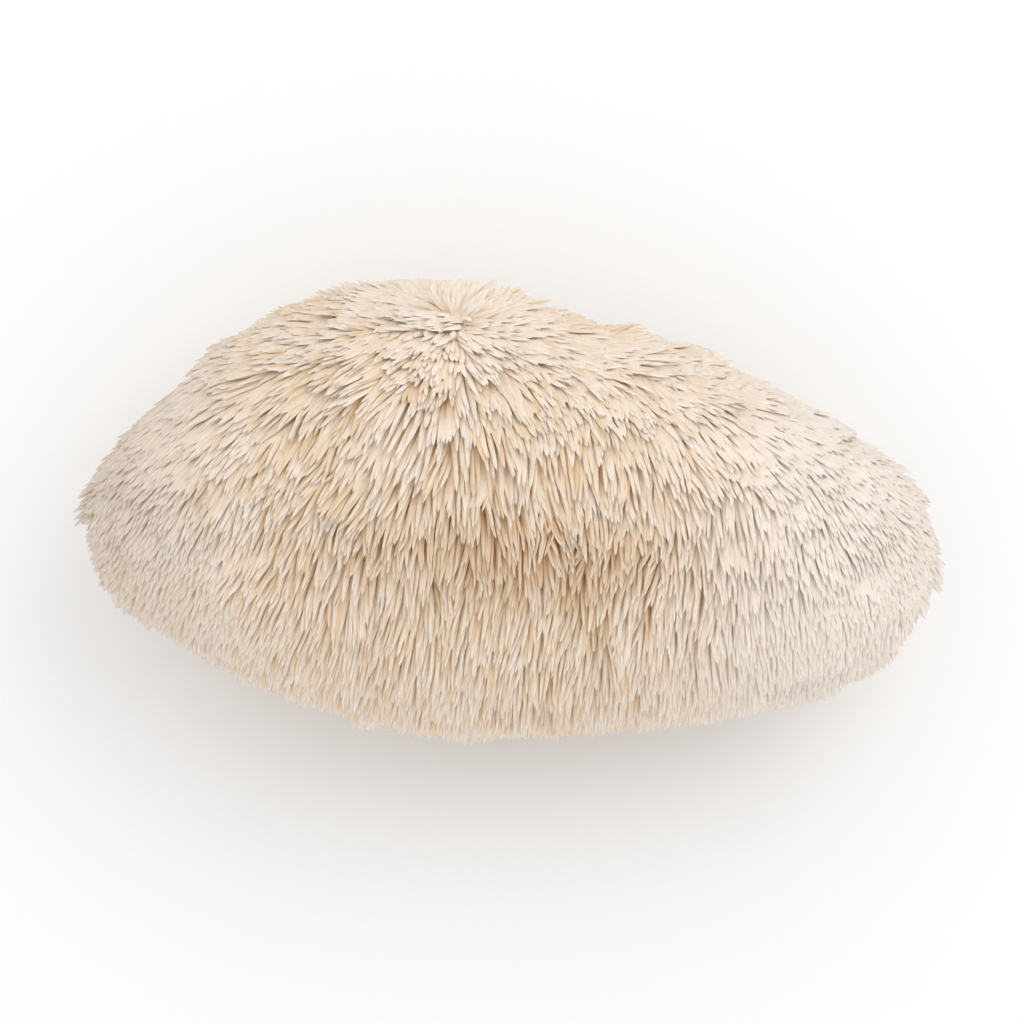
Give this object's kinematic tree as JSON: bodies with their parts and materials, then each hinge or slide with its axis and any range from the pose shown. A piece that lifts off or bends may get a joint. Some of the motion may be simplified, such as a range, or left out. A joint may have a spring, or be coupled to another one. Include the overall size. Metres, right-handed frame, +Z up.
{
  "type": "lions mane mushroom",
  "caption": "Picked and trimmed fungus fruit body: a rounded, lobed cushion covered in soft hanging spines, lying on the flat knife cut through its neck.",
  "frame": {"origin": "in the plane of the knife cut that it rests on, under the middle of the body", "axes": "+Z up out of the cut, -Y the way the spines hung while it grew, +X along the length of the body, towards its taller side lobe"},
  "size_m": [0.105, 0.057, 0.048],
  "materials": {
    "spines": null,
    "flesh": null
  },
  "bodies": {
    "root": {"fruit_body": "spines"}
  },
  "joints": []
}
